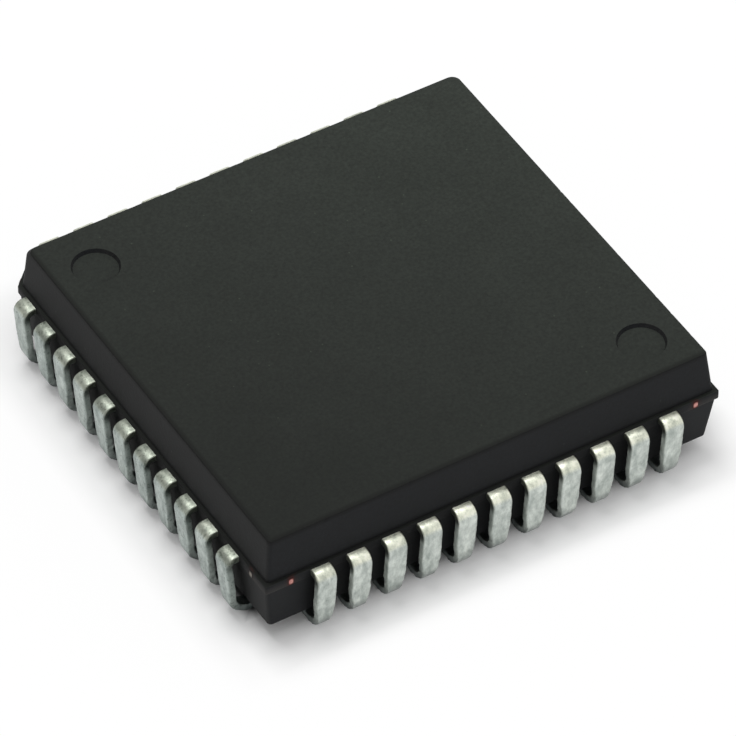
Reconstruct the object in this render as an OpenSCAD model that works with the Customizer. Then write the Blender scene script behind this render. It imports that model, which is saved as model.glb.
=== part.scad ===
// Plastic leaded chip carrier: a moulded square package with J-leads on its four sides.
// Origin at the middle of the seating plane, +Z up. The index side is +Y and the index corner is -X, +Y.

/* [Package] */
// Leads on each side, an odd number
leads_per_side = 11; // [9:2:13]
// Step from one lead to the next along a side
lead_step = 1.27; // [1.15:0.01:1.5]
// From the middle of a side's last lead to the corner of the parting flange
corner_reach = 1.95; // [1.75:0.05:2.5]
// Height of the package above the seating plane
overall_h = 4.3; // [4.0:0.05:5.0]
// Underside of the moulding above the seating plane
stand_off = 0.66; // [0.51:0.01:0.8]
// Top of the lead frame above the seating plane
lead_plane_h = 2.69; // [2.3:0.01:3.05]

/* [Moulding] */
// How far the upper half is set in from the flange at the parting plane
upper_ledge = 0.12; // [0.06:0.01:0.3]
// How far the lower half is set in from the flange at the parting plane
lower_ledge = 0.04; // [0.02:0.01:0.2]
// Draft of the upper half's walls, in degrees
upper_draft = 6; // [2:0.5:9]
// Draft of the lower half's walls, in degrees
lower_draft = 6.5; // [2:0.5:9]
// Plastic over and under the lead frame at the flange
flange_cover = 0.04; // [0.02:0.01:0.1]
// Corner radius of the flange
flange_corner_r = 0.06; // [0.03:0.01:0.3]
// Corner radius of the upper and lower halves
half_corner_r = 0.15; // [0.1:0.01:0.4]
// Rounding of the top and bottom edges
edge_r = 0.05; // [0.03:0.01:0.08]
// Cut across the index corner, along each side of the flange
index_cut = 1.1; // [0.7:0.05:1.4]
// Bevel along the index side, across the top face
index_bevel = 0.97; // [0.6:0.01:1.1]
// Slope of that bevel, in degrees
bevel_angle = 50; // [42:1:52]
// Corner radius at the ends of that bevel
bevel_corner_r = 0.3; // [0.1:0.01:0.5]
// Diameter of the ejector pin marks in the top face
pin_mark_d = 1.52; // [1.0:0.01:2.0]
// Depth of every ejector pin mark
pin_mark_depth = 0.1; // [0.05:0.01:0.2]
// From the middle of a mark to the edges of the top face
pin_mark_inset = 1.51; // [1.1:0.01:2.0]
// From the middle of the index corner's mark to the bevel
pin_mark_bevel_inset = 1.75; // [1.1:0.01:2.5]
// Diameter of the ejector pin mark in the underside
under_mark_d = 3; // [1.5:0.1:4]

/* [Leads] */
// Thickness of the lead frame
lead_t = 0.25; // [0.19:0.01:0.3]
// Width of a lead where it leaves the moulding
lead_w = 0.69; // [0.6:0.01:0.81]
// Width of a lead's foot
foot_w = 0.42; // [0.33:0.01:0.53]
// Drop from the top of a lead to where it starts to narrow
wide_drop = 1.49; // [0.9:0.01:1.6]
// How far a lead stands out from the flange
lead_reach = 0.465; // [0.42:0.005:0.6]
// Inside radius of the shoulder bend
shoulder_r = 0.1; // [0.08:0.01:0.17]
// Lean of the leg towards the package, in degrees
leg_lean = 5; // [0:0.5:8]
// Outside radius of the J bend
foot_r = 0.8; // [0.7:0.01:0.95]
// Turn of the J bend from level to its tip, in degrees
foot_turn = 170; // [150:1:178]
// Room round a lead's tip in its pocket
pocket_clear = 0.12; // [0.08:0.01:0.16]

/* [Lead frame inside] */
// From the flange to where a lead starts to fan in
anchor_len = 1.2; // [0.9:0.05:1.5]
// From the flange to the edge of the die pad
pad_inset = 4.4; // [4.0:0.05:4.6]
// Gap between the die pad and the lead tips
tip_gap = 0.3; // [0.2:0.01:0.5]
// Straight length of a lead's bonding tip
tip_len = 0.5; // [0.35:0.01:0.7]
// Width of a lead's bonding tip
tip_w = 0.34; // [0.25:0.01:0.38]
// From the die pad's corner to its side's last lead tip
tip_corner = 0.6; // [0.5:0.01:0.8]
// How far the die pad lies below the leads
pad_drop = 0.25; // [0.1:0.01:0.4]
// Length of the sloped part of a tie bar
tie_slope_len = 0.45; // [0.3:0.01:0.8]
// Width of a tie bar
tie_w = 0.16; // [0.12:0.01:0.25]
// From the flange's corner to the middle of a trimmed tie bar end
tie_inset = 0.9; // [0.75:0.01:1.0]
// How far the trimmed tie bar ends stand proud of the flange
tie_proud = 0.01; // [0.005:0.005:0.05]

/* [Chip and bonds] */
// Side of the square silicon die
die_w = 4.4; // [3.0:0.1:4.8]
// Thickness of the die
die_t = 0.38; // [0.25:0.01:0.45]
// Thickness of the die attach film
attach_t = 0.03; // [0.02:0.005:0.06]
// How far the film shows round the die
attach_rim = 0.1; // [0.05:0.01:0.2]
// Thickness of a bond wire
wire_t = 0.03; // [0.02:0.005:0.05]
// Rise of a wire's loop above the die
loop_h = 0.2; // [0.12:0.01:0.35]
// Width of the ball bond on the die
ball_d = 0.09; // [0.07:0.005:0.12]
// Height of the ball bond
ball_h = 0.025; // [0.015:0.005:0.04]
// Length of the stitch bond on the lead
stitch_len = 0.1; // [0.06:0.01:0.15]
// From a lead's tip to its stitch bond
stitch_inset = 0.2; // [0.1:0.01:0.3]
// From the die's edge to its bond pads
bond_edge = 0.14; // [0.1:0.01:0.25]
// From the die's corner to its side's last bond pad
bond_corner = 0.45; // [0.3:0.01:0.8]

/* [Hidden] */
MOULD = "#343633";
TIN = "#b9bdb4";
COPPER = "#b8734a";
SILICON = "#6a717c";
SILVER_FILM = "#c6c3ba";
GOLD = "#dcae45";
// Overshoot of a cut past the face it opens
eps = 0.1;
// How far the space cut for a piece runs on into the space of the piece that it stands on
root_depth = lead_t / 3;
// Sides drawn round a corner post, and steps of a bend and of a rounded edge
post_fn = 32;
bend_steps = 6;
foot_steps = 8;
edge_steps = 4;
mark_fn = 48;
dish_fn = 96;
ball_fn = 12;

SIDES = 4;
// Quarter turns from the +X, +Y corner to the index corner
INDEX_CORNER = 1;
lead_count = SIDES * leads_per_side;
middle = (leads_per_side - 1) / 2;
body_half = middle * lead_step + corner_reach;

// Levels
lead_under = lead_plane_h - lead_t;
lead_top = lead_under + lead_t;
parting_h = lead_plane_h - lead_t / 2;
pad_under = lead_under - pad_drop;
pad_top = pad_under + lead_t;
die_under = pad_top + attach_t;
die_top = die_under + die_t;

// Half widths of the moulding at the parting plane and at its faces
upper_half = body_half - upper_ledge;
lower_half = body_half - lower_ledge;
upper_h = overall_h - parting_h;
lower_h = parting_h - stand_off;
upper_in = upper_h * tan(upper_draft);
lower_in = lower_h * tan(lower_draft);
top_half = upper_half - upper_in;

// The bevel's upper edge, and where it runs out on the index side's wall, above the parting plane
bevel_y = top_half - index_bevel;
bevel_run = 1 / tan(bevel_angle);
bevel_over = bevel_y + upper_h * bevel_run - upper_half;
bevel_end_h = max(bevel_over / (bevel_run - tan(upper_draft)), flange_cover);
bevel_half = upper_half - bevel_end_h * tan(upper_draft);

// Shoulder bend, leg and J bend of a lead, in its own plane of reach and height
shoulder_out = shoulder_r + lead_t;
foot_in = foot_r - lead_t;
shoulder_c = [body_half + lead_reach - shoulder_out, lead_plane_h - shoulder_out];
leg_len = (shoulder_c[1] - foot_r + (foot_r - shoulder_out) * sin(leg_lean)) / cos(leg_lean);
foot_c = [shoulder_c[0] - (foot_r - shoulder_out) * cos(leg_lean) - leg_len * sin(leg_lean), foot_r];
tip_top = foot_r - foot_in * sin(180 - foot_turn);
narrow_from = lead_plane_h - wide_drop;

// Pocket in the underside for a lead's tip
tip_depth = max(foot_r - stand_off, 0);
pocket_from = foot_c[0] - foot_r - pocket_clear;
pocket_to = foot_c[0] - sqrt(max(foot_in ^ 2 - tip_depth ^ 2, 0)) + pocket_clear;
pocket_top = max(tip_top, stand_off) + pocket_clear;
pocket_w = foot_w + 2 * pocket_clear;

// Fan of the leads inside
fan_from = body_half - anchor_len;
pad_half = body_half - pad_inset;
tip_from = pad_half + tip_gap;
tip_step = (pad_half - tip_corner) / middle;
bond_step = (die_w / 2 - bond_corner) / middle;
tie_at = body_half - tie_inset;

function lead_name(pin) = str("lead_", pin < 10 ? "0" : "", pin);

// Pins count counter-clockwise, seen from above, from the middle of the index side.
function pin_step(pin) = pin - 1 + middle;
function pin_side(pin) = floor(pin_step(pin) / leads_per_side) % SIDES;
function pin_offset(pin) = pin_step(pin) % leads_per_side - middle;

function arc(c, r, from, to, steps) =
    [for (i = [0 : steps]) let (a = from + (to - from) * i / steps) c + r * [cos(a), sin(a)]];

// Centres of the corner posts of an outline: the two opposite the index side
function front_posts(half, r) = [[half - r, r - half], [r - half, r - half]];

// The three on the index side, where the outline reaches back and the cut takes a corner off
function back_posts(half, back, r, cut) =
    let (p = half - r, q = back - r, k = (sqrt(2) - 1) * r)
    [[p, q], [max(back + cut - 2 * half + k, -p), q], [-p, min(half - cut - k, q)]];

function square_posts(half, r, cut) = concat(front_posts(half, r), back_posts(half, half, r, cut));

// The index cut seen on an outline that is set in from the flange
function set_in_cut(ledge) = index_cut - ledge * (2 - sqrt(2));

// Half section of a corner post with a rounded rim, standing on the parting plane
function post_profile(r, h) =
    concat(
        [[0, 0], [r, 0]],
        arc([r - edge_r, h - edge_r], edge_r, 0, 90, edge_steps),
        [[0, h]]
    );

module posts(places, r, h) {
    for (p = places) translate(p) cylinder(r = r, h = h, $fn = post_fn);
}

module rimmed_posts(places, r, h) {
    for (p = places) translate(p) rotate_extrude($fn = post_fn) polygon(post_profile(r, h));
}

module flange_outline() {
    hull()
        for (p = square_posts(body_half, flange_corner_r, index_cut))
            translate(p) circle(flange_corner_r, $fn = post_fn);
}

// Feet of a half's corner posts, at the parting plane
module half_feet(half) {
    posts(square_posts(half, half_corner_r, set_in_cut(body_half - half)), half_corner_r, flange_cover);
}

// The upper half's face ends at the bevel
module upper_body() {
    cut = set_in_cut(body_half - top_half);
    hull() {
        half_feet(upper_half);
        posts(
            back_posts(bevel_half, bevel_half, bevel_corner_r, set_in_cut(body_half - bevel_half)),
            bevel_corner_r, bevel_end_h
        );
        rimmed_posts(front_posts(top_half, half_corner_r), half_corner_r, upper_h);
        rimmed_posts(back_posts(top_half, bevel_y, bevel_corner_r, cut), bevel_corner_r, upper_h);
    }
}

module lower_body() {
    face_half = lower_half - lower_in;
    hull() {
        half_feet(lower_half);
        rimmed_posts(
            square_posts(face_half, half_corner_r, set_in_cut(body_half - face_half)),
            half_corner_r, lower_h
        );
    }
}

// Turns what lies along +X, with pin order along +Y, to a pin's side
module to_side(side) {
    rotate([0, 0, 90 + 90 * side]) children();
}

// Strip in the plane of the lead frame, from the bonding tip to the shoulder bend
module lead_strip(offset) {
    out = offset * lead_step;
    tip = offset * tip_step;
    path = [
        [tip_from, tip, tip_w], [tip_from + tip_len, tip, tip_w],
        [fan_from, out, lead_w], [shoulder_c[0], out, lead_w]
    ];
    translate([0, 0, lead_under])
        linear_extrude(lead_t)
            polygon(concat(
                [for (p = path) [p[0], p[1] - p[2] / 2]],
                [for (i = [len(path) - 1 : -1 : 0]) [path[i][0], path[i][1] + path[i][2] / 2]]
            ));
}

// Side view of the bent strip: shoulder bend, leg and J bend, as far as the lowest point of its foot
module leg_profile() {
    polygon(concat(
        arc(shoulder_c, shoulder_out, 90, -leg_lean, bend_steps),
        arc(foot_c, foot_r, -leg_lean, -90, foot_steps),
        arc(foot_c, foot_in, -90, -leg_lean, foot_steps),
        arc(shoulder_c, shoulder_r, -leg_lean, 90, bend_steps)
    ));
}

// Side view of the rest of the J bend, from there to its tip
module curl_profile() {
    polygon(concat(
        arc(foot_c, foot_r, -90, -foot_turn, foot_steps),
        arc(foot_c, foot_in, -foot_turn, -90, foot_steps)
    ));
}

// Front view of the leg: wide below the shoulder, then narrowed down to the foot
module leg_outline() {
    half = [
        [lead_w / 2, lead_plane_h + eps], [lead_w / 2, narrow_from],
        [foot_w / 2, lead_t], [foot_w / 2, -eps]
    ];
    polygon(concat(half, [for (i = [len(half) - 1 : -1 : 0]) [-half[i][0], half[i][1]]]));
}

module formed_leg(offset) {
    reach = body_half + lead_reach + eps;
    translate([0, offset * lead_step, 0]) {
        intersection() {
            rotate([90, 0, 0]) linear_extrude(lead_w, center = true) leg_profile();
            rotate([90, 0, 90]) linear_extrude(reach) leg_outline();
        }
        rotate([90, 0, 0]) linear_extrude(foot_w, center = true) curl_profile();
    }
}

module lead(pin) {
    color(TIN)
        to_side(pin_side(pin)) {
            lead_strip(pin_offset(pin));
            formed_leg(pin_offset(pin));
        }
}

// Plan of one corner of the die pad's sheet: a tie bar, and its fork that ends on both sides of the corner
function tie_corner(limit) =
    let (
        slant = tie_w / sqrt(2), near = tie_at - tie_w / 2, far = tie_at + tie_w / 2,
        end = body_half + tie_proud,
        near_end = min(end, limit - near), far_end = min(end, limit - far)
    )
    [
        [pad_half, pad_half - slant], [near + slant, near], [near_end, near], [far_end, far],
        [far, far], [far, far_end], [near, near_end], [near, near + slant], [pad_half - slant, pad_half]
    ];

function quarter_turns(p, n) = n == 0 ? p : quarter_turns([-p[1], p[0]], n - 1);

// Plan of the die pad's sheet: the ends at the index corner are trimmed along its cut
module pad_plan() {
    untrimmed = 2 * (body_half + tie_proud);
    index_limit = 2 * body_half - index_cut + tie_proud * sqrt(2);
    polygon([
        for (corner = [0 : SIDES - 1])
            for (p = tie_corner(corner == INDEX_CORNER ? index_limit : untrimmed))
                quarter_turns(p, corner)
    ]);
}

// The sheet is pressed down under the die, as a dish whose rim lies in the plane of the leads.
module pad_dish() {
    start = pad_half * sqrt(2);
    rim = 2 * body_half;
    line = [[0, pad_under], [start, pad_under], [start + tie_slope_len, lead_under], [rim, lead_under]];
    rotate_extrude($fn = dish_fn)
        polygon(concat(line, [for (i = [len(line) - 1 : -1 : 0]) line[i] + [0, lead_t]]));
}

module die_pad() {
    color(COPPER)
        intersection() {
            linear_extrude(overall_h) pad_plan();
            pad_dish();
        }
}

module die_attach(root = 0) {
    w = die_w + 2 * attach_rim;
    color(SILVER_FILM)
        translate([-w / 2, -w / 2, pad_top - root]) cube([w, w, attach_t + root]);
}

module die(root = 0) {
    color(SILICON)
        translate([-die_w / 2, -die_w / 2, die_under - root]) cube([die_w, die_w, die_t + root]);
}

// Side view of a wire: up from the ball bond, level to its knee, then down to the stitch bond
module wire_profile(span, root) {
    crest = die_top + loop_h;
    knee = span / 2;
    stitch_end = span + stitch_len;
    stitch_foot = root > 0 ? [[span, lead_top], [span, lead_top - root]] : [[span, lead_top]];
    polygon(concat(
        [[-wire_t / 2, die_top - root], [wire_t / 2, die_top - root]],
        [[wire_t / 2, crest - wire_t], [knee, crest - wire_t]],
        stitch_foot,
        [[stitch_end, lead_top - root], [stitch_end, lead_top + wire_t]],
        [[span + wire_t / 2, lead_top + wire_t], [knee + wire_t / 2, crest], [-wire_t / 2, crest]]
    ));
}

module bond_wire(offset, root) {
    from = [die_w / 2 - bond_edge, offset * bond_step];
    to = [tip_from + stitch_inset, offset * tip_step];
    run = to - from;
    translate(from) {
        rotate([90, 0, atan2(run[1], run[0])])
            linear_extrude(wire_t, center = true) wire_profile(norm(run), root);
        translate([0, 0, die_top - root]) cylinder(d = ball_d, h = ball_h + root, $fn = ball_fn);
    }
}

module bond_wires(root = 0) {
    color(GOLD)
        for (pin = [1 : lead_count])
            to_side(pin_side(pin)) bond_wire(pin_offset(pin), root);
}

module tip_pocket(offset) {
    translate([pocket_from, offset * lead_step - pocket_w / 2, stand_off - eps])
        cube([pocket_to - pocket_from, pocket_w, pocket_top - stand_off + eps]);
}

module pin_mark(d, place) {
    translate(place) cylinder(d = d, h = 2 * pin_mark_depth, center = true, $fn = mark_fn);
}

module moulding() {
    difference() {
        union() {
            translate([0, 0, parting_h]) {
                upper_body();
                // A mirror turns it over and leaves the index corner in place.
                mirror([0, 0, 1]) lower_body();
            }
            translate([0, 0, lead_under - flange_cover])
                linear_extrude(lead_t + 2 * flange_cover) flange_outline();
        }
        pin_mark(pin_mark_d, [pin_mark_inset - top_half, bevel_y - pin_mark_bevel_inset, overall_h]);
        pin_mark(pin_mark_d, [top_half - pin_mark_inset, pin_mark_inset - top_half, overall_h]);
        pin_mark(under_mark_d, [0, 0, stand_off]);
    }
}

// The moulding closes round the lead frame, the die and the wires, whose spaces run into one another.
module package_body() {
    color(MOULD)
        difference() {
            moulding();
            for (pin = [1 : lead_count])
                to_side(pin_side(pin)) {
                    lead_strip(pin_offset(pin));
                    tip_pocket(pin_offset(pin));
                }
            die_pad();
            die_attach(root_depth);
            die(root_depth);
            bond_wires(root_depth);
        }
}

package_body();
die_pad();
die_attach();
die();
bond_wires();
for (pin = [1 : lead_count]) lead(pin);
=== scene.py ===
import math
import random

import bmesh
import bpy
from mathutils import Matrix, Vector


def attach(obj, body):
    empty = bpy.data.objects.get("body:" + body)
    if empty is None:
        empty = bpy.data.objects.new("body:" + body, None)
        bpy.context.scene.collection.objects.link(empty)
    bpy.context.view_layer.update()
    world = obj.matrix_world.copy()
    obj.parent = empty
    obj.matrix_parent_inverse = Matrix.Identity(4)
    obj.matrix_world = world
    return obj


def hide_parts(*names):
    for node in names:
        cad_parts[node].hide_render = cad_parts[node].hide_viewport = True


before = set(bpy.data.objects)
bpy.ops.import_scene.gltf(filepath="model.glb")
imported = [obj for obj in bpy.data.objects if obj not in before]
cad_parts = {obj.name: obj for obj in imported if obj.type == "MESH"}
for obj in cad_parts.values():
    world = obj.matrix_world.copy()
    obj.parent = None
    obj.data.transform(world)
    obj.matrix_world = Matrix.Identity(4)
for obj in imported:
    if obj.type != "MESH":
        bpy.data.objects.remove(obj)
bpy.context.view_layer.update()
scene = bpy.context.scene
scene.view_settings.view_transform = "Standard"
MM = 0.001

# Camera: a long lens, high over the corner between the two nearer rows of leads.
# Its place was fitted to the lead rows and the moulding's edges, in a square frame.
view_turn = math.radians(-31.33)
view_rise = math.radians(44.69)
view_roll = math.radians(0.20)
view_distance = 235.0 * MM
view_target = Vector((0.0, 0.0, 2.2 * MM))
towards_camera = Vector((
    math.sin(view_turn) * math.cos(view_rise),
    -math.cos(view_turn) * math.cos(view_rise),
    math.sin(view_rise),
))
level_right = Vector((math.cos(view_turn), math.sin(view_turn), 0.0))
level_up = towards_camera.cross(level_right)
picture_right = level_right * math.cos(view_roll) + level_up * math.sin(view_roll)
picture_up = level_up * math.cos(view_roll) - level_right * math.sin(view_roll)
camera_data = bpy.data.cameras.new("camera")
camera_data.sensor_width = 36.0
camera_data.lens = 361.9
camera_data.shift_x = 0.01467
camera_data.shift_y = -0.0390
camera_data.clip_start = 0.005
camera_data.clip_end = 20.0
camera = bpy.data.objects.new("camera", camera_data)
camera.matrix_world = Matrix.Translation(view_target + towards_camera * view_distance) @ Matrix(
    (picture_right, picture_up, towards_camera)
).transposed().to_4x4()
scene.collection.objects.link(camera)
scene.camera = camera


# Studio: a white sweep under the chip, a wide soft light in front on the right, and a lamp above.
# The floor is a brighter white to the camera than to the light that it throws back, and keeps the shadow.
# Painted shade darkens it under the chip, and painted light, a glow seen only by the camera, lifts the
# shadow a little past the leads' feet and whitens it out a short way past the leads.
def new_material(name):
    material = bpy.data.materials.new(name)
    material.use_nodes = True
    material.node_tree.nodes.clear()
    return material, material.node_tree


# What a socket takes is a number, a colour, a vector or another node's output.
def set_input(tree, socket, value):
    if isinstance(value, bpy.types.NodeSocket):
        tree.links.new(value, socket)
    else:
        socket.default_value = value


def add_node(tree, kind, inputs=None, **settings):
    node = tree.nodes.new(kind)
    for key, value in settings.items():
        setattr(node, key, value)
    for name, value in (inputs or {}).items():
        set_input(tree, node.inputs[name], value)
    return node


def add_math(tree, operation, *values):
    return add_node(tree, "ShaderNodeMath", dict(enumerate(values)), operation=operation).outputs[0]


def add_range(tree, value, from_min, from_max, to_min=0.0, to_max=1.0, **settings):
    node = add_node(tree, "ShaderNodeMapRange", {
        "Value": value,
        "From Min": from_min,
        "From Max": from_max,
        "To Min": to_min,
        "To Max": to_max,
    }, **settings)
    return node.outputs["Result"]


def add_mix(tree, factor, a, b, blend="MIX"):
    inputs = {"Factor": factor, "A": a, "B": b}
    return add_node(tree, "ShaderNodeMix", inputs, data_type="RGBA", blend_type=blend).outputs["Result"]


def split_xyz(tree, vector):
    return add_node(tree, "ShaderNodeSeparateXYZ", {0: vector}).outputs


def set_surface(tree, shader):
    add_node(tree, "ShaderNodeOutputMaterial", {"Surface": shader.outputs[0]})


def mesh_object(name, mesh):
    piece = bpy.data.objects.new(name, mesh)
    scene.collection.objects.link(piece)
    return piece


# Where the floor is painted, in mm: painted shade under the chip, painted light past the feet and further
# out.
painted_shade_from = 7.9
painted_shade_to = 8.3
painted_shade_short_y = 1.3
feet_from = 7.8
feet_to = 8.2
open_from = 9.2
open_to = 10.2
floor_paper, tree = new_material("floor_paper")
rays = add_node(tree, "ShaderNodeLightPath").outputs
seen = add_math(tree, "MAXIMUM", rays["Is Camera Ray"], rays["Is Glossy Ray"])
seen_through = add_math(tree, "MAXIMUM", seen, rays["Is Transmission Ray"])
paper_place = split_xyz(tree, add_node(tree, "ShaderNodeTexCoord").outputs["Object"])
paper_x = add_math(tree, "ABSOLUTE", paper_place["X"])
paper_y = add_math(tree, "ABSOLUTE", paper_place["Y"])
paper_off = add_math(tree, "MAXIMUM", paper_x, paper_y)
# Painted shade: the floor is painted darker under the chip, stopping a little short of the rows on the ±Y
# sides.
painted_shade_off = add_math(tree, "MAXIMUM", paper_x, add_math(tree, "ADD", paper_y, painted_shade_short_y * MM))
painted_shade_under_chip = add_range(tree, painted_shade_off, painted_shade_from * MM, painted_shade_to * MM, 0.08, 1.0)
# Painted light: a glow seen only by the camera lifts the shadow past the leads' feet and whitens it out
# further on.
painted_light_past_feet = add_range(tree, paper_off, feet_from * MM, feet_to * MM, 0.0, 0.13)
painted_light_far_out = add_range(tree, paper_off, open_from * MM, open_to * MM, 0.0, 0.9)
painted_light_share = add_math(tree, "MAXIMUM", painted_light_past_feet, painted_light_far_out)
paper_tone = add_mix(tree, seen_through, (0.80, 0.80, 0.80, 1.0), (1.0, 1.0, 1.0, 1.0))
paper_painted_shade = add_mix(tree, 1.0, paper_tone, painted_shade_under_chip, "MULTIPLY")
paper = add_node(tree, "ShaderNodeBsdfDiffuse", {"Color": paper_painted_shade})
paper_glow = add_node(tree, "ShaderNodeEmission")
paper_seen = add_node(tree, "ShaderNodeMixShader", {
    "Fac": add_math(tree, "MULTIPLY", seen_through, painted_light_share),
    1: paper.outputs[0],
    2: paper_glow.outputs[0],
})
set_surface(tree, paper_seen)

floor_half = 1.5
floor_corners = [(x * floor_half, y * floor_half, 0) for x, y in ((-1, -1), (1, -1), (1, 1), (-1, 1))]
floor_mesh = bpy.data.meshes.new("floor")
floor_mesh.from_pydata(floor_corners, [], [(0, 1, 2, 3)])
floor_mesh.materials.append(floor_paper)
floor = mesh_object("floor", floor_mesh)

world = bpy.data.worlds.new("studio")
world.use_nodes = True
tree = world.node_tree
tree.nodes.clear()
direction = add_node(tree, "ShaderNodeTexCoord").outputs["Generated"]
light_from = Vector((0.37, -0.56, 0.74)).normalized()
facing = add_node(tree, "ShaderNodeVectorMath", {0: direction, 1: light_from}, operation="DOT_PRODUCT")
sky_level = add_range(tree, facing.outputs["Value"], -0.2, 1.0, 0.36, 1.0, interpolation_type="SMOOTHSTEP")
sky = add_node(tree, "ShaderNodeBackground", {"Strength": sky_level})
add_node(tree, "ShaderNodeOutputWorld", {"Surface": sky.outputs[0]})
scene.world = world

lamp_place = Vector((-0.02, 0.07, 0.33))
lamp_data = bpy.data.lights.new("lamp_above", "AREA")
lamp_data.shape = "SQUARE"
lamp_data.size = 0.16
lamp_data.energy = 0.55
lamp = bpy.data.objects.new("lamp_above", lamp_data)
lamp.location = lamp_place
lamp.rotation_euler = (-lamp_place).to_track_quat("-Z", "Y").to_euler()
scene.collection.objects.link(lamp)


# Moulded body: black epoxy, transfer moulded in one shot round the lead frame.
# Two drafted halves meet at a thin flange on the parting line; the side of pin 1 has a bevel
# along its top edge and the corner beside it is cut off.
leads_per_side = 11
middle_lead = (leads_per_side - 1) // 2
lead_step = 1.27
body_half = 8.30
overall_h = 4.30
stand_off = 0.66
lead_plane = 2.69
strip_t = 0.25
flange_cover = 0.04
parting_h = lead_plane - strip_t / 2
upper_ledge = 0.12
lower_ledge = 0.04
upper_draft = math.radians(6)
lower_draft = math.radians(6.5)
upper_half = body_half - upper_ledge
lower_half = body_half - lower_ledge
upper_in = (overall_h - parting_h) * math.tan(upper_draft)
lower_in = (parting_h - stand_off) * math.tan(lower_draft)
top_half = upper_half - upper_in
index_cut = 1.1
bevel_w = 0.97
bevel_y = top_half - bevel_w
bevel_slope = math.radians(50)
bevel_corner_r = 0.3
half_corner_r = 0.15
rim_r = 0.05
flange_r = 0.08
flange_rim_r = 0.045
flush_w = (0.04, 0.16)
least_r = 0.02
side_steps = 150
cut_steps = 6
corner_steps = 10
rim_steps = 5
flange_steps = 3
upper_steps = 26
lower_steps = 16


# One level of the moulding: its outline, counter-clockwise, as far as back on the index side,
# with the index corner cut off at 45 degrees.
def outline(half, corner_r, cut, back, back_r):
    front = half - corner_r
    side = half - back_r
    off_cut = (math.sqrt(2) - 1) * back_r
    corners = [
        (Vector((front, -front)), corner_r, -90, 0),
        (Vector((side, back - back_r)), back_r, 0, 90),
        (Vector((max(back + cut - 2 * half + off_cut, -side), back - back_r)), back_r, 90, 135),
        (Vector((-side, min(half - cut - off_cut, back - back_r))), back_r, 135, 180),
        (Vector((-front, -front)), corner_r, 180, 270),
    ]
    steps_between = [side_steps, side_steps, cut_steps, side_steps, side_steps]
    points = []
    for i, (middle, radius, start, stop) in enumerate(corners):
        steps = corner_steps if stop - start == 90 else corner_steps // 2
        arc = []
        for k in range(steps + 1):
            a = math.radians(start + (stop - start) * k / steps)
            arc.append(middle + radius * Vector((math.cos(a), math.sin(a))))
        next_middle, next_radius, next_start = corners[(i + 1) % len(corners)][:3]
        a = math.radians(next_start)
        following = next_middle + next_radius * Vector((math.cos(a), math.sin(a)))
        points.extend(arc)
        between = steps_between[i]
        for k in range(1, between):
            points.append(arc[-1].lerp(following, k / between))
    return points


# How far +Y a level may reach: the index bevel, with its upper edge rounded.
def bevel_limit(z):
    depth = overall_h - z
    round_r = 0.14
    if depth < round_r * (1 - math.cos(bevel_slope)):
        start = bevel_y - round_r * math.tan(bevel_slope / 2)
        return start + math.sqrt(max(round_r ** 2 - (round_r - depth) ** 2, 0.0))
    return bevel_y + depth / math.tan(bevel_slope)


def cut_set_in(ledge):
    return index_cut - ledge * (2 - math.sqrt(2))


# The wall of one half, from the parting plane to its rounded rim, as steps of (distance, how far set in).
def wall_levels(h, draft_in, steps):
    wall_end = h - rim_r
    found = []
    for k in range(steps + 1):
        share = k / steps
        found.append((flange_cover + (wall_end - flange_cover) * share, draft_in * share))
    for k in range(1, rim_steps + 1):
        a = math.radians(90 * k / rim_steps)
        found.append((wall_end + rim_r * math.sin(a), draft_in + rim_r * (1 - math.cos(a))))
    for flush in flush_w:
        found.append((h, draft_in + rim_r + flush))
    return found


# The levels from the underside up, each as (height, half width, corner radius, index cut).
levels = []
flange_bottom = lead_plane - strip_t - flange_cover
flange_top = lead_plane + flange_cover
for distance, set_in in reversed(wall_levels(parting_h - stand_off, lower_in, lower_steps)):
    z = min(parting_h - distance, flange_bottom)
    half = lower_half - set_in
    radius = max(half_corner_r - max(set_in - lower_in, 0.0), least_r)
    levels.append((z, half, radius, cut_set_in(body_half - half)))
for k in range(flange_steps + 1):
    a = math.radians(90 * k / flange_steps)
    z = flange_bottom + flange_rim_r * (1 - math.cos(a))
    inset = flange_rim_r * (1 - math.sin(a))
    levels.append((z, body_half - inset, flange_r - inset, cut_set_in(inset)))
for k in range(flange_steps + 1):
    a = math.radians(90 * k / flange_steps)
    z = flange_top - flange_rim_r * (1 - math.sin(a))
    inset = flange_rim_r * (1 - math.cos(a))
    levels.append((z, body_half - inset, flange_r - inset, cut_set_in(inset)))
for distance, set_in in wall_levels(overall_h - parting_h, upper_in, upper_steps):
    z = max(parting_h + distance, flange_top)
    half = upper_half - set_in
    radius = max(half_corner_r - max(set_in - upper_in, 0.0), least_r)
    levels.append((z, half, radius, cut_set_in(body_half - half)))

# Chips knocked out of the upper rim in handling, each as (place, width, depth).
nick_count = 18
nick_span = (-7.8, 7.6)
nick_width = (0.05, 0.13)
nick_depth = (0.01, 0.03)
nick_dice = random.Random(7)
nicks = []
for k in range(nick_count):
    along = nick_dice.uniform(*nick_span)
    side = nick_dice.choice("EESWN")
    places = {
        "E": (top_half, along),
        "W": (-top_half, along),
        "S": (along, -top_half),
        "N": (along, bevel_y),
    }
    nicks.append((Vector(places[side]), nick_dice.uniform(*nick_width), nick_dice.uniform(*nick_depth)))


def clamp(value):
    return min(max(value, 0.0), 1.0)


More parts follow.
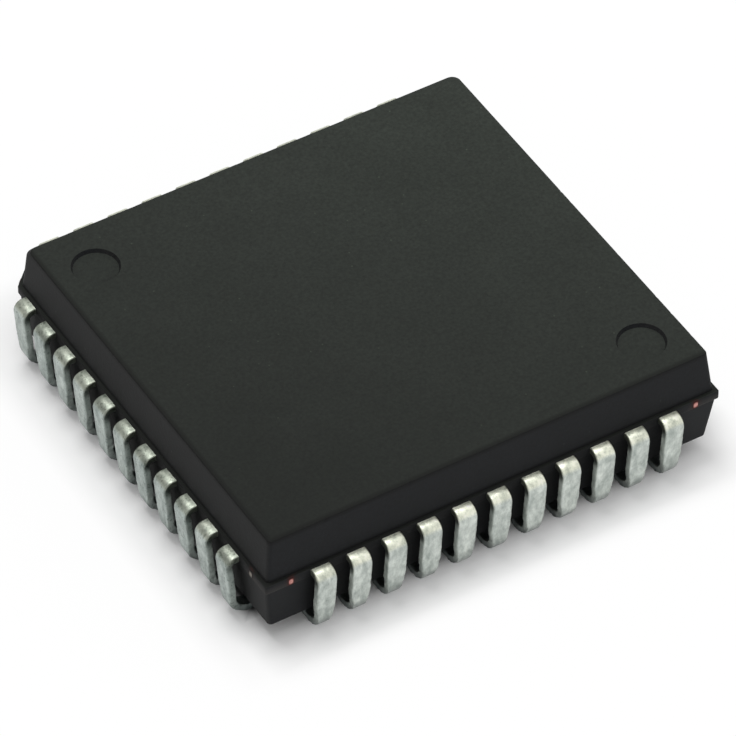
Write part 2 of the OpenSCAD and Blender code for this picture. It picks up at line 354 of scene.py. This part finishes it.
body_bm = bmesh.new()
rings = []
bevel_rise = 0.25
weld_gap = 1e-7
for z, half, corner_r, cut in levels:
    set_back = max(top_half - half, 0.0)
    back = min(bevel_limit(z) - max(set_back - rim_r, 0.0), half)
    bevelled = clamp((z - flange_top) / bevel_rise)
    back_r = corner_r + (bevel_corner_r - half_corner_r) * bevelled
    ring = []
    for p in outline(half, corner_r, cut, back, back_r):
        ring.append(body_bm.verts.new((p.x * MM, p.y * MM, z * MM)))
    rings.append(ring)
for lower, upper in zip(rings, rings[1:]):
    for i in range(len(lower)):
        j = (i + 1) % len(lower)
        body_bm.faces.new((lower[i], lower[j], upper[j], upper[i]))
body_bm.faces.new(list(reversed(rings[0])))
body_bm.faces.new(rings[-1])
level_face = set(rings[-1])
for vert in body_bm.verts:
    if vert.co.z < (overall_h - 2 * rim_r) * MM or vert in level_face:
        continue
    here = Vector((vert.co.x, vert.co.y)) / MM
    for place, width, depth in nicks:
        gap = (here - place).length
        if gap < width:
            bite = depth * (0.5 + 0.5 * math.cos(math.pi * gap / width))
            vert.co.z -= bite * MM
            vert.co.x -= math.copysign(bite * MM, vert.co.x) if abs(place.x) >= top_half else 0.0
            vert.co.y -= math.copysign(bite * MM, vert.co.y) if abs(place.x) < top_half else 0.0
bmesh.ops.remove_doubles(body_bm, verts=body_bm.verts, dist=weld_gap)
bmesh.ops.dissolve_degenerate(body_bm, edges=body_bm.edges, dist=weld_gap)
bmesh.ops.recalc_face_normals(body_bm, faces=body_bm.faces)
body_mesh = bpy.data.meshes.new("package_body_moulding")
body_bm.to_mesh(body_mesh)
body_bm.free()

# What the mould leaves out: two ejector pin marks on top, one below, and a pocket for each lead's tip.
cutter_bm = bmesh.new()
pin_mark_depth = 0.13
index_mark_w = 1.60
far_mark_w = 1.62
under_mark_w = 3.0
mark_in = 1.51
mark_off_bevel = 1.75
top_flare = 0.06
under_flare = -0.03
for place, across, level, flare in (
    ((mark_in - top_half, bevel_y - mark_off_bevel), index_mark_w, overall_h, top_flare),
    ((top_half - mark_in, mark_in - top_half), far_mark_w, overall_h, top_flare),
    ((0.0, 0.0), under_mark_w, stand_off, under_flare),
):
    bmesh.ops.create_cone(
        cutter_bm,
        cap_ends=True,
        segments=96,
        radius1=(across / 2 - flare) * MM,
        radius2=(across / 2 + flare) * MM,
        depth=2 * pin_mark_depth * MM,
        matrix=Matrix.Translation(Vector((place[0], place[1], level)) * MM),
    )
foot_r = 0.8
foot_w = 0.42
shoulder_r = 0.10
lead_reach = 0.465
lean = math.radians(5)
foot_turn = math.radians(170)
shoulder_out = shoulder_r + strip_t
shoulder_u = body_half + lead_reach - shoulder_out
shoulder_z = lead_plane - shoulder_out
leg_len = (shoulder_z - foot_r + (foot_r - shoulder_out) * math.sin(lean)) / math.cos(lean)
foot_u = shoulder_u - (foot_r - shoulder_out) * math.cos(lean) - leg_len * math.sin(lean)
pocket_room = 0.12
cut_over = 0.1
pocket_in = foot_u - foot_r - pocket_room
pocket_out = foot_u - math.sqrt((foot_r - strip_t) ** 2 - (foot_r - stand_off) ** 2) + pocket_room
pocket_top = foot_r - (foot_r - strip_t) * math.sin(foot_turn) + pocket_room
for side in range(4):
    turn = Matrix.Rotation(math.radians(90 + 90 * side), 4, "Z")
    for k in range(leads_per_side):
        along = (k - middle_lead) * lead_step
        size = Vector((pocket_out - pocket_in, foot_w + 2 * pocket_room, pocket_top - stand_off + cut_over))
        middle = Vector(((pocket_in + pocket_out) / 2, along, (pocket_top + stand_off - cut_over) / 2))
        bmesh.ops.create_cube(
            cutter_bm,
            size=1.0,
            matrix=turn @ Matrix.Translation(middle * MM) @ Matrix.Diagonal((*(size * MM), 1.0)),
        )
cutter_mesh = bpy.data.meshes.new("mould_cutter")
cutter_bm.to_mesh(cutter_mesh)
cutter_bm.free()


def evaluated_mesh(piece):
    depsgraph = bpy.context.evaluated_depsgraph_get()
    return bpy.data.meshes.new_from_object(piece.evaluated_get(depsgraph))


def smooth(mesh, sharp_degrees):
    for face in mesh.polygons:
        face.use_smooth = True
    mesh.set_sharp_from_angle(angle=math.radians(sharp_degrees))


cutter = mesh_object("mould_cutter", cutter_mesh)
blank = mesh_object("moulding_blank", body_mesh)
hollow = blank.modifiers.new("hollow", "BOOLEAN")
hollow.operation = "DIFFERENCE"
hollow.solver = "EXACT"
hollow.object = cutter
moulded = evaluated_mesh(blank)
moulded.name = "package_body_moulding"
bpy.data.objects.remove(blank)
bpy.data.objects.remove(cutter)
smooth(moulded, sharp_degrees=32)

# The rounded rim along the two near top edges and the ledge at the parting line are painted darker than the
# faces, and so are the flange and the lower walls along the rows, between the leads: painted shade. The
# flange is paler along its lower edge past the rows, and it is stained where the copper tie bars were cut
# off.
tie_in = 0.9
tie_at = body_half - tie_in
row_margin = 0.6
row_end = middle_lead * lead_step + row_margin
rim_w = 0.18
rim_fade = 0.1
ledge_h = 0.12
ledge_shade = 0.75
row_fade = 0.4
row_shade = 0.9
pale_h = 0.03
pale_w = 0.06
pale_fade = 0.5
stain_r = 0.11
stain_room = 0.1
dull_stain = 0.25
level_slack = 0.005
edge_slack = 0.01
epoxy_painted_shade = moulded.attributes.new("epoxy_painted_shade", "FLOAT", "POINT")
tie_stain = moulded.attributes.new("tie_stain", "FLOAT", "POINT")
flange_pale_edge = moulded.attributes.new("flange_pale_edge", "FLOAT", "POINT")
for vert in moulded.vertices:
    x, y, z = vert.co / MM
    outer = max(abs(x), abs(y))
    along = min(abs(x), abs(y))
    wall_half = upper_half - (z - parting_h) / (overall_h - parting_h) * upper_in
    off_rim = max(overall_h - z, wall_half - max(-x, -y))
    # Painted shade: the near rim, the ledge and the flange and lower walls between the leads are marked
    # darker.
    shade = clamp((rim_w - off_rim) / rim_fade)
    if flange_top - level_slack < z < flange_top + ledge_h:
        shade = ledge_shade
    if z < flange_top + edge_slack:
        shade = max(row_shade * clamp((row_end - along) / row_fade), shade)
    epoxy_painted_shade.data[vert.index].value = shade
    pale_band = 1.0 - abs(z - flange_bottom - pale_h) / pale_w
    past_row = clamp((along - row_end) / pale_fade)
    on_edge = outer > lower_half + edge_slack
    flange_pale_edge.data[vert.index].value = max(pale_band, 0.0) * past_row if on_edge else 0.0
    off_end = math.hypot(along - tie_at, z - parting_h)
    near_flange = flange_bottom - stain_room < z < flange_top + stain_room
    on_flange = outer > body_half - 2 * flange_rim_r and near_flange
    stain = clamp(2.0 - off_end / stain_r) * (dull_stain if x < -lower_half else 1.0)
    tie_stain.data[vert.index].value = stain if on_flange else 0.0


def two_tones(tree, share, dark_at, dark, light_at, light):
    ramp = add_node(tree, "ShaderNodeValToRGB", {"Fac": share})
    for stop, position, colour in zip(ramp.color_ramp.elements, (dark_at, light_at), (dark, light)):
        stop.position = position
        stop.color = (*colour, 1.0)
    return ramp.outputs["Color"]


def add_noise(tree, place, scale, detail=2.0, roughness=0.5):
    return add_node(tree, "ShaderNodeTexNoise", {
        "Vector": place,
        "Scale": scale,
        "Detail": detail,
        "Roughness": roughness,
    }).outputs["Fac"]


def marked(tree, name):
    return add_node(tree, "ShaderNodeAttribute", attribute_name=name).outputs["Fac"]


grain_h = 0.02
top_light_reach = 16.0
epoxy, tree = new_material("mould_epoxy")
place = add_node(tree, "ShaderNodeTexCoord").outputs["Object"]
facing = split_xyz(tree, add_node(tree, "ShaderNodeNewGeometry").outputs["True Normal"])
grain = add_noise(tree, place, 9000.0, 3.0, 0.6)
cloud = add_noise(tree, place, 420.0)
cloud_tone = two_tones(tree, cloud, 0.3, (0.0138, 0.0142, 0.0143), 0.7, (0.0158, 0.0162, 0.0164))
fine_tone = add_range(tree, grain, 0.0, 1.0, 0.25, 1.75)
fine = add_mix(tree, 0.9, cloud_tone, fine_tone, "MULTIPLY")
speck = add_node(tree, "ShaderNodeTexVoronoi", {"Vector": place, "Scale": 4200.0}).outputs
speck_mask = add_range(tree, speck["Distance"], 0.16, 0.06)
speck_draw = add_node(tree, "ShaderNodeSeparateColor", {"Color": speck["Color"]}).outputs["Red"]
speck_on = add_math(tree, "MULTIPLY", speck_mask, add_math(tree, "GREATER_THAN", speck_draw, 0.93))
speck_light = add_mix(tree, speck_on, fine, (0.032, 0.034, 0.031, 1.0))
# Painted shade where the rim, the ledge and the rows between the leads are marked.
epoxy_shaded = add_mix(tree, marked(tree, "epoxy_painted_shade"), speck_light, (0.006, 0.0062, 0.006, 1.0))
# Painted light: faces that look up are painted lighter and greener than the walls, more so towards the far
# corner.
top_light_run = add_node(tree, "ShaderNodeVectorMath", {0: place, 1: (1.0, 1.0, 0.0)}, operation="DOT_PRODUCT")
top_light_ramp = add_range(tree, top_light_run.outputs["Value"], -top_light_reach * MM, top_light_reach * MM, 0.55, 1.75)
top_light_tint = add_mix(tree, 1.0, (1.12, 1.30, 1.06, 1.0), top_light_ramp, "MULTIPLY")
facing_up = add_range(tree, facing["Z"], 0.6, 0.95)
top_lit = add_mix(tree, facing_up, epoxy_shaded, top_light_tint, "MULTIPLY")
# Painted shade: walls that face -Y are painted darker and bluer.
front = add_range(tree, facing["Y"], -0.5, -0.9)
front_painted_shade = add_mix(tree, front, top_lit, (0.60, 0.64, 0.72, 1.0), "MULTIPLY")
# The flange's lower edge past the rows is painted paler.
pale_flange = add_mix(tree, marked(tree, "flange_pale_edge"), front_painted_shade, (0.036, 0.033, 0.031, 1.0))
stained = add_mix(tree, marked(tree, "tie_stain"), pale_flange, (0.050, 0.010, 0.008, 1.0))
height = add_node(tree, "ShaderNodeBump", {"Strength": 0.35, "Distance": grain_h * MM, "Height": grain})
skin = add_node(tree, "ShaderNodeBsdfPrincipled", {
    "Base Color": stained,
    "Roughness": add_range(tree, grain, 0.0, 1.0, 0.62, 0.78),
    "Specular IOR Level": 0.22,
    "Normal": height.outputs["Normal"],
})
set_surface(tree, skin)
moulded.materials.clear()
moulded.materials.append(epoxy)
moulding = mesh_object("moulding", moulded)
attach(moulding, "root")
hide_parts("package_body")


# J-leads: copper strip, stamped with a wide shoulder and a narrow foot, tin plated, then bent
# over the flange and curled under the body into its pocket. Inside, each strip fans in to its bond.
# One tree of nodes draws a lead; it is run once for each pin, with that pin's place and its own seed.
leg_top = lead_plane - 0.62
bend_end = lead_plane - 0.32
highlight_from = lead_plane - 0.25
highlight_to = lead_plane - 0.14
foot_shade_bottom = 0.05
foot_shade_top = 0.8
blotch_h = 0.02
tin, tree = new_material("tin_plate")
place = add_node(tree, "ShaderNodeTexCoord").outputs["Object"]
level = split_xyz(tree, place)["Z"]
# The tarnish mark holds each lead's own tarnish and, on the -X row, painted shade as well.
tarnish = marked(tree, "tarnish")
sheared = marked(tree, "sheared")
drawn = add_node(tree, "ShaderNodeMapping", {"Vector": place, "Scale": (1.0, 1.0, 0.45)}).outputs["Vector"]
blotch = add_noise(tree, drawn, 4200.0, 4.0, 0.65)
blotch_tone = two_tones(tree, blotch, 0.32, (0.385, 0.425, 0.395), 0.66, (0.735, 0.775, 0.725))
below_bend = add_range(tree, level, leg_top * MM, bend_end * MM, 1.0, 0.0)
# Painted shade: the sheared sides are painted dark up under the shoulder and a little darker down the leg.
side_shade_tone = add_mix(tree, below_bend, (0.44, 0.45, 0.43, 1.0), (0.84, 0.86, 0.84, 1.0))
sides_shaded = add_mix(tree, sheared, blotch_tone, side_shade_tone, "MULTIPLY")
# Painted highlight: the tops of the shoulders are painted warmer and brighter, less so on tarnished leads.
bent = add_range(tree, level, highlight_from * MM, highlight_to * MM)
warm_painted_light = add_mix(tree, bent, sides_shaded, (1.03, 1.0, 0.90, 1.0), "MULTIPLY")
untarnished = add_range(tree, tarnish, 0.0, 0.93, 1.0, 0.0)
shoulder_highlight = add_math(tree, "MULTIPLY", bent, untarnished)
shoulder_highlit = add_mix(tree, shoulder_highlight, warm_painted_light, (1.52, 1.50, 1.50, 1.0), "MULTIPLY")
# Tarnish darkens the tin; on the -X row this is mostly painted shade.
tarnished_and_shaded = add_mix(tree, tarnish, shoulder_highlit, (0.66, 0.70, 0.71, 1.0), "MULTIPLY")
# Painted shade: darker down at the foot and inside the curl.
foot_painted_shade = add_range(tree, level, foot_shade_bottom * MM, foot_shade_top * MM, 1.0, 0.0)
curl_and_foot_shade = add_math(tree, "MAXIMUM", foot_painted_shade, marked(tree, "curl"))
low_shaded = add_mix(tree, curl_and_foot_shade, tarnished_and_shaded, (0.30, 0.31, 0.33, 1.0), "MULTIPLY")
pit = add_noise(tree, place, 11000.0)
pit_mask = add_range(tree, pit, 0.42, 0.30)
pit_share = add_math(tree, "MULTIPLY_ADD", tarnish, 1.3, 0.2)
pit_depth = add_math(tree, "MULTIPLY", pit_mask, pit_share)
pitted = add_mix(tree, pit_depth, low_shaded, (0.58, 0.60, 0.58, 1.0), "MULTIPLY")
sheared_leg = add_math(tree, "MULTIPLY", sheared, below_bend)
tin_height = add_node(tree, "ShaderNodeBump", {"Strength": 0.4, "Distance": blotch_h * MM, "Height": blotch})
plate = add_node(tree, "ShaderNodeBsdfPrincipled", {
    "Base Color": pitted,
    "Metallic": add_range(tree, sheared_leg, 0.0, 1.0, 1.0, 0.15),
    "Roughness": add_range(tree, pit, 0.0, 1.0, 0.36, 0.58),
    "Normal": tin_height.outputs["Normal"],
})
set_surface(tree, plate)

lead_w = 0.69
edge_round = 0.05
tip_w = 0.34
tip_len = 0.5
fan_in = 1.2
fan_from = body_half - fan_in
pad_in = 4.4
pad_half = body_half - pad_in
tip_gap = 0.3
tip_from = pad_half + tip_gap
tip_margin = 0.6
tip_step = (pad_half - tip_margin) / middle_lead
narrow_drop = 1.49
narrow_from = lead_plane - narrow_drop
shoulder_mid = shoulder_r + strip_t / 2
foot_mid = foot_r - strip_t / 2

lead_tree = bpy.data.node_groups.new("j_lead", "GeometryNodeTree")
lead_sockets = {}


def lead_input(name, kind, value=None):
    socket = lead_tree.interface.new_socket(name, in_out="INPUT", socket_type=kind)
    if value is not None:
        socket.default_value = value
    lead_sockets[name] = socket.identifier


lead_tree.interface.new_socket("Lead", in_out="OUTPUT", socket_type="NodeSocketGeometry")
lead_input("Strip thickness", "NodeSocketFloat", strip_t * MM)
lead_input("Shoulder width", "NodeSocketFloat", lead_w * MM)
lead_input("Foot width", "NodeSocketFloat", foot_w * MM)
lead_input("Tip width", "NodeSocketFloat", tip_w * MM)
lead_input("Narrow from", "NodeSocketFloat", narrow_from * MM)
lead_input("Narrow to", "NodeSocketFloat", strip_t * MM)
lead_input("Foot middle", "NodeSocketFloat", foot_u * MM)
lead_input("Edge round", "NodeSocketFloat", edge_round * MM)
lead_input("Shoulder radius", "NodeSocketFloat", shoulder_mid * MM)
lead_input("Foot radius", "NodeSocketFloat", foot_mid * MM)
lead_input("Tip length", "NodeSocketFloat", tip_len * MM)
lead_input("Fan length", "NodeSocketFloat", (fan_from - tip_from) * MM)
lead_input("Strip start", "NodeSocketVector", Vector((tip_from, 0, parting_h)) * MM)
lead_input("Shoulder corner", "NodeSocketVector", Vector((
    shoulder_u + shoulder_mid * (1 + math.sin(lean)) / math.cos(lean), 0, parting_h,
)) * MM)
lead_input("Foot outer corner", "NodeSocketVector", Vector((
    foot_u + foot_mid * (1 - math.sin(lean)) / math.cos(lean), 0, strip_t / 2,
)) * MM)
lead_input("Foot inner corner", "NodeSocketVector", Vector((
    foot_u - foot_mid * math.tan((foot_turn - math.radians(90)) / 2), 0, strip_t / 2,
)) * MM)
lead_input("Foot end", "NodeSocketVector", Vector((
    foot_u + foot_mid * math.cos(foot_turn), 0, foot_r - foot_mid * math.sin(foot_turn),
)) * MM)
lead_input("Along side", "NodeSocketFloat", 0.0)
lead_input("Tip along side", "NodeSocketFloat", 0.0)
lead_input("Side turn", "NodeSocketFloat", 0.0)
lead_input("Seed", "NodeSocketInt", 0)
lead_input("Tarnish and shade", "NodeSocketFloat", 0.0)
lead_input("Plating", "NodeSocketMaterial")

given = add_node(lead_tree, "NodeGroupInput").outputs

# The bent centre line, from the bonding tip to the end of the foot. The foot springs back a little.
corner_names = ("Strip start", "Shoulder corner", "Foot outer corner", "Foot inner corner", "Foot end")
spring_back = 0.014
line_step = 0.07
corner_index = add_node(lead_tree, "GeometryNodeInputIndex").outputs[0]
spring = add_node(lead_tree, "FunctionNodeRandomValue", {
    "Min": (-spring_back * MM, 0.0, 0.0),
    "Max": (spring_back * MM, 0.0, 0.0),
    "ID": 1,
    "Seed": given["Seed"],
}, data_type="FLOAT_VECTOR").outputs["Value"]
corner_place = add_node(lead_tree, "GeometryNodeIndexSwitch", data_type="VECTOR")
bend_r = add_node(lead_tree, "GeometryNodeIndexSwitch", data_type="FLOAT")
for switch in (corner_place, bend_r):
    while len(switch.index_switch_items) < len(corner_names):
        switch.index_switch_items.new()
    set_input(lead_tree, switch.inputs["Index"], corner_index)
for k, name in enumerate(corner_names):
    corner = given[name]
    if name.startswith("Foot"):
        sprung = add_node(lead_tree, "ShaderNodeVectorMath", {0: corner, 1: spring}, operation="ADD")
        corner = sprung.outputs[0]
    set_input(lead_tree, corner_place.inputs[str(k)], corner)
for k, name in ((1, "Shoulder radius"), (2, "Foot radius"), (3, "Foot radius")):
    set_input(lead_tree, bend_r.inputs[str(k)], given[name])
corners = add_node(
    lead_tree, "GeometryNodeMeshLine", {"Count": len(corner_names)}, mode="OFFSET", count_mode="TOTAL",
)
corner_set = add_node(lead_tree, "GeometryNodeSetPosition", {
    "Geometry": corners.outputs["Mesh"],
    "Position": corner_place.outputs[0],
})
line = add_node(lead_tree, "GeometryNodeMeshToCurve", {"Mesh": corner_set.outputs[0]})
bends = add_node(lead_tree, "GeometryNodeFilletCurve", {
    "Curve": line.outputs[0],
    "Count": 12,
    "Radius": bend_r.outputs[0],
}, mode="POLY")
fine_line = add_node(lead_tree, "GeometryNodeResampleCurve", {
    "Curve": bends.outputs[0],
    "Length": line_step * MM,
}, mode="LENGTH")
run = add_node(lead_tree, "GeometryNodeSplineParameter").outputs["Length"]
keep_run = add_node(lead_tree, "GeometryNodeCaptureAttribute", domain="POINT")
keep_run.capture_items.new("FLOAT", "Run")
set_input(lead_tree, keep_run.inputs["Geometry"], fine_line.outputs[0])
set_input(lead_tree, keep_run.inputs["Run"], run)

# The strip's section, with its stamped edges rounded.
section = add_node(lead_tree, "GeometryNodeCurvePrimitiveQuadrilateral", {
    "Width": given["Shoulder width"],
    "Height": given["Strip thickness"],
})
section_round = add_node(lead_tree, "GeometryNodeFilletCurve", {
    "Curve": section.outputs[0],
    "Count": 3,
    "Radius": given["Edge round"],
}, mode="POLY")
strip = add_node(lead_tree, "GeometryNodeCurveToMesh", {
    "Curve": keep_run.outputs["Geometry"],
    "Profile Curve": section_round.outputs[0],
    "Fill Caps": True,
})

# The width along the strip, its place along the side, and the slight unevenness of a stamped, bent strip.
sway_share = 0.012
here = split_xyz(lead_tree, add_node(lead_tree, "GeometryNodeInputPosition").outputs[0])
leg_width = add_range(
    lead_tree,
    here["Z"],
    given["Narrow to"],
    given["Narrow from"],
    given["Foot width"],
    given["Shoulder width"],
)
fan = (keep_run.outputs["Run"], given["Tip length"], given["Fan length"])
fan_width = add_range(lead_tree, *fan, given["Tip width"], given["Shoulder width"])
fan_place = add_range(lead_tree, *fan, given["Tip along side"], given["Along side"])
low = add_math(lead_tree, "LESS_THAN", here["Z"], given["Narrow from"])
inward = add_math(lead_tree, "LESS_THAN", here["X"], given["Foot middle"])
curled = add_math(lead_tree, "MULTIPLY", low, inward)
excess = add_math(lead_tree, "SUBTRACT", leg_width, given["Foot width"])
excess_off = add_math(lead_tree, "MULTIPLY", excess, curled)
formed_width = add_math(lead_tree, "SUBTRACT", leg_width, excess_off)
width = add_math(lead_tree, "MINIMUM", formed_width, fan_width)
width_share = add_math(lead_tree, "DIVIDE", width, given["Shoulder width"])
sway = add_node(lead_tree, "FunctionNodeRandomValue", {
    "Min": -sway_share,
    "Max": sway_share,
    "ID": 2,
    "Seed": given["Seed"],
}, data_type="FLOAT").outputs["Value"]
below = add_math(lead_tree, "SUBTRACT", (lead_plane - strip_t) * MM, here["Z"])
hang = add_math(lead_tree, "MAXIMUM", below, 0.0)
drift = add_math(lead_tree, "MULTIPLY", hang, sway)
across = add_math(lead_tree, "MULTIPLY", here["Y"], width_share)
beside = add_math(lead_tree, "ADD", across, fan_place)
placed = add_node(lead_tree, "ShaderNodeCombineXYZ", {
    "X": here["X"],
    "Y": add_math(lead_tree, "ADD", beside, drift),
    "Z": here["Z"],
})


# Marks for the finish: the sheared edges, the painted shade inside the curl, and how far the tin has
# tarnished, with painted shade on the -X row.
def mark_lead(name, geometry, value):
    inputs = {"Geometry": geometry, "Name": name, "Value": value}
    kind = "GeometryNodeStoreNamedAttribute"
    return add_node(lead_tree, kind, inputs, data_type="FLOAT", domain="POINT").outputs[0]


curl_unshaded_at = 0.65
curl_shaded_at = 0.10
tarnish_lifts_shade = 0.8
strip_half = add_math(lead_tree, "DIVIDE", given["Shoulder width"], 2.0)
flat_half = add_math(lead_tree, "SUBTRACT", strip_half, given["Edge round"])
side_face = add_range(lead_tree, add_math(lead_tree, "ABSOLUTE", here["Y"]), flat_half, strip_half)
# Painted shade inside the curl, less of it on the more tarnished leads.
curl_from = add_math(lead_tree, "ADD", given["Foot middle"], curl_unshaded_at * MM)
curl_to = add_math(lead_tree, "ADD", given["Foot middle"], curl_shaded_at * MM)
curl_in = add_range(lead_tree, here["X"], curl_from, curl_to)
shade_lifted = add_math(lead_tree, "MULTIPLY", given["Tarnish and shade"], tarnish_lifts_shade)
curl_shade_share = add_math(lead_tree, "SUBTRACT", 1.0, shade_lifted)
curl_shade = add_math(lead_tree, "MULTIPLY", curl_in, curl_shade_share)
sheared_strip = mark_lead("sheared", strip.outputs[0], side_face)
curl_shaded_strip = mark_lead("curl", sheared_strip, add_math(lead_tree, "MULTIPLY", curl_shade, low))
aged_strip = mark_lead("tarnish", curl_shaded_strip, given["Tarnish and shade"])
shaped = add_node(lead_tree, "GeometryNodeSetPosition", {
    "Geometry": aged_strip,
    "Position": placed.outputs[0],
})
turn_angles = add_node(lead_tree, "ShaderNodeCombineXYZ", {"Z": given["Side turn"]})
turned = add_node(lead_tree, "GeometryNodeTransform", {
    "Geometry": shaped.outputs[0],
    "Rotation": turn_angles.outputs[0],
})
whole = add_node(lead_tree, "GeometryNodeRealizeInstances", {0: turned.outputs[0]})
plated = add_node(lead_tree, "GeometryNodeSetMaterial", {
    "Geometry": whole.outputs[0],
    "Material": given["Plating"],
})
add_node(lead_tree, "NodeGroupOutput", {0: plated.outputs[0]})

# Pins count counter-clockwise from the middle of the +Y side. The row on -X is painted darker and duller:
# painted shade.
shaded_row = 1
shaded_row_level = 0.80
tarnish_level = 0.08
tarnish_spread = 0.1
tarnish_dice = random.Random(3)
for pin in range(1, 4 * leads_per_side + 1):
    step = pin - 1 + middle_lead
    side = step // leads_per_side % 4
    along = step % leads_per_side - middle_lead
    former = mesh_object("lead_former", bpy.data.meshes.new("lead_former"))
    draw = former.modifiers.new("draw", "NODES")
    draw.node_group = lead_tree
    draw[lead_sockets["Along side"]] = along * lead_step * MM
    draw[lead_sockets["Tip along side"]] = along * tip_step * MM
    draw[lead_sockets["Side turn"]] = math.radians(90 + 90 * side)
    draw[lead_sockets["Seed"]] = pin
    # The -X row's high level paints its leads darker: painted shade.
    row_tarnish = shaded_row_level if side == shaded_row else tarnish_level
    draw[lead_sockets["Tarnish and shade"]] = row_tarnish + tarnish_dice.uniform(-tarnish_spread, tarnish_spread)
    draw[lead_sockets["Plating"]] = tin
    lead_mesh = evaluated_mesh(former)
    bpy.data.objects.remove(former)
    lead_mesh.name = "tinned_lead_%02d" % pin
    smooth(lead_mesh, sharp_degrees=50)
    lead = mesh_object("tinned_lead_%02d" % pin, lead_mesh)
    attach(lead, "root")
    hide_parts("lead_%02d" % pin)


# Die pad: a copper sheet under the die, held in the epoxy. Its four tie bars fork at the corners, and their
# bare cut ends show as copper spots on the flange.
spot_r = 0.05
ring_r = 0.12
copper, tree = new_material("bare_copper")
place = add_node(tree, "ShaderNodeTexCoord").outputs["Object"]
spot = split_xyz(tree, place)
spot_x = add_math(tree, "ABSOLUTE", spot["X"])
spot_y = add_math(tree, "ABSOLUTE", spot["Y"])
spot_side = add_math(tree, "MINIMUM", spot_x, spot_y)
spot_flat = add_node(tree, "ShaderNodeCombineXYZ", {"X": spot_side, "Z": spot["Z"]})
spot_off = add_node(tree, "ShaderNodeVectorMath", {
    0: spot_flat.outputs[0],
    1: Vector((tie_at, 0.0, parting_h)) * MM,
}, operation="DISTANCE")
spot_edge = add_range(tree, spot_off.outputs["Value"], spot_r * MM, ring_r * MM)
oxide_row = add_math(tree, "LESS_THAN", spot["X"], -body_half * MM)
tarnish = add_noise(tree, place, 5000.0)
tarnish_tone = two_tones(tree, tarnish, 0.35, (0.40, 0.15, 0.13), 0.65, (0.74, 0.40, 0.36))
oxide = add_mix(tree, oxide_row, tarnish_tone, (0.24, 0.21, 0.18, 1.0))
burnt_ring = add_mix(tree, oxide_row, (0.085, 0.018, 0.014, 1.0), (0.022, 0.020, 0.018, 1.0))
burnt = add_mix(tree, spot_edge, oxide, burnt_ring)
sheet = add_node(tree, "ShaderNodeBsdfPrincipled", {"Base Color": burnt, "Metallic": 1.0, "Roughness": 0.4})
set_surface(tree, sheet)


def refinish(node_name, material):
    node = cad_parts[node_name]
    node.data.materials.clear()
    node.data.materials.append(material)


refinish("die_pad", copper)


# Die, its attach film and the bond wires: sealed in the epoxy on the die pad.
# Each keeps its solid and takes the finish of polished silicon, silver epoxy or gold.
def speckled_finish(name, dark, light, scale, metallic, roughness):
    material, tree = new_material(name)
    place = add_node(tree, "ShaderNodeTexCoord").outputs["Object"]
    fleck = add_noise(tree, place, scale)
    surface = add_node(tree, "ShaderNodeBsdfPrincipled", {
        "Base Color": two_tones(tree, fleck, 0.35, dark, 0.65, light),
        "Metallic": metallic,
        "Roughness": roughness,
    })
    set_surface(tree, surface)
    return material


silicon = speckled_finish("silicon", (0.12, 0.14, 0.18), (0.2, 0.22, 0.27), 1500.0, 0.6, 0.2)
silver_film = speckled_finish("silver_film", (0.42, 0.41, 0.38), (0.62, 0.6, 0.56), 9000.0, 0.4, 0.5)
gold_wire = speckled_finish("gold_wire", (0.66, 0.42, 0.1), (0.86, 0.6, 0.2), 6000.0, 1.0, 0.25)
refinish("die", silicon)
refinish("die_attach", silver_film)
refinish("bond_wires", gold_wire)
